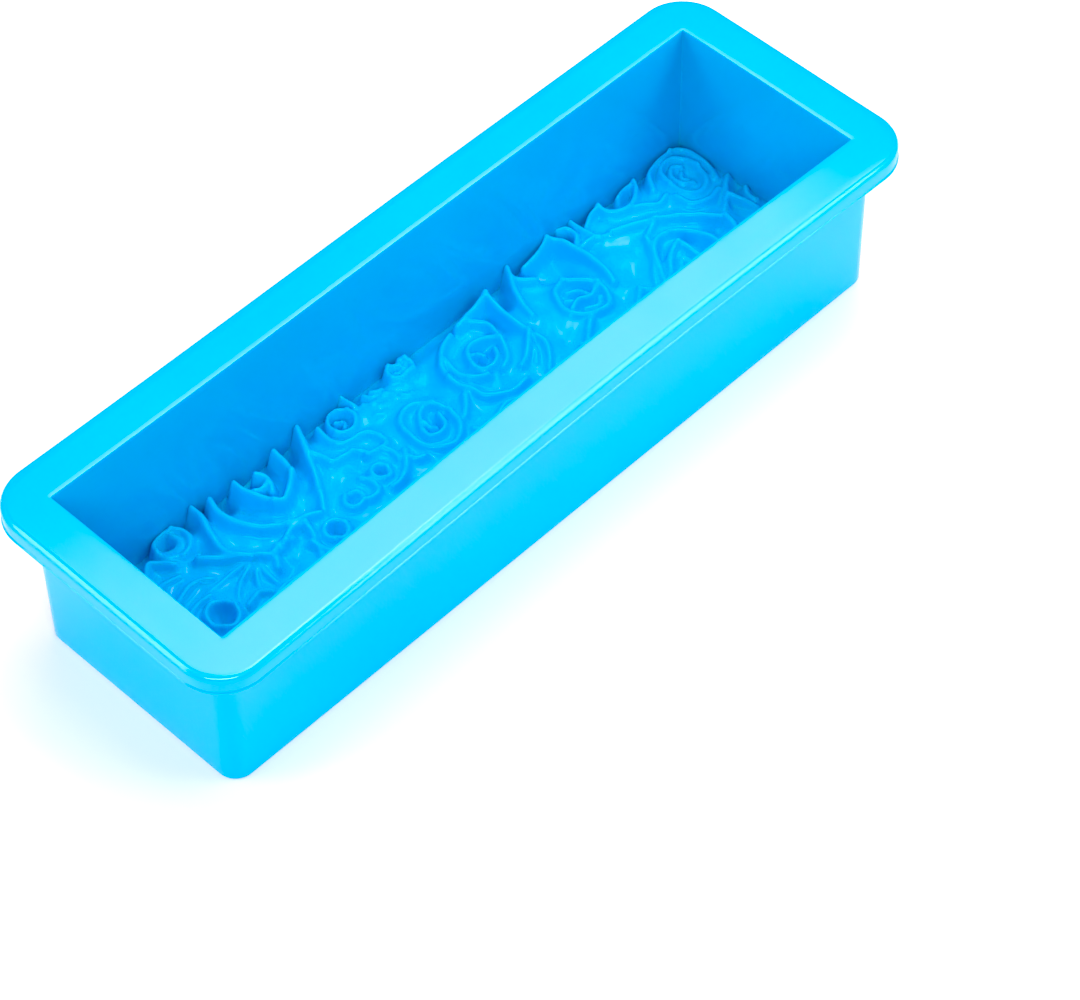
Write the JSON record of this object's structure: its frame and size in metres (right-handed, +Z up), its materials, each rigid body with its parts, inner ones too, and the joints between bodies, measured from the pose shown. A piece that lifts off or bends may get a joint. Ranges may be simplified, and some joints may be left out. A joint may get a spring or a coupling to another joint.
{
  "type": "soap loaf mould",
  "caption": "Flexible one-piece silicone loaf mould with a flat rim flange, straight walls and a floor moulded with a bed of roses, for pouring soap or wax.",
  "frame": {"origin": "centre of the flat underside, on the surface that the mould stands on", "axes": "+X along the loaf, +Y across it, +Z up out of the mouth"},
  "size_m": [0.278, 0.095, 0.058],
  "materials": {
    "silicone": "satin"
  },
  "bodies": {
    "root": {"rim_flange": "silicone", "front_wall": "silicone", "back_wall": "silicone", "left_end_wall": "silicone", "right_end_wall": "silicone", "base": "silicone", "rose_relief": "silicone"}
  },
  "joints": []
}
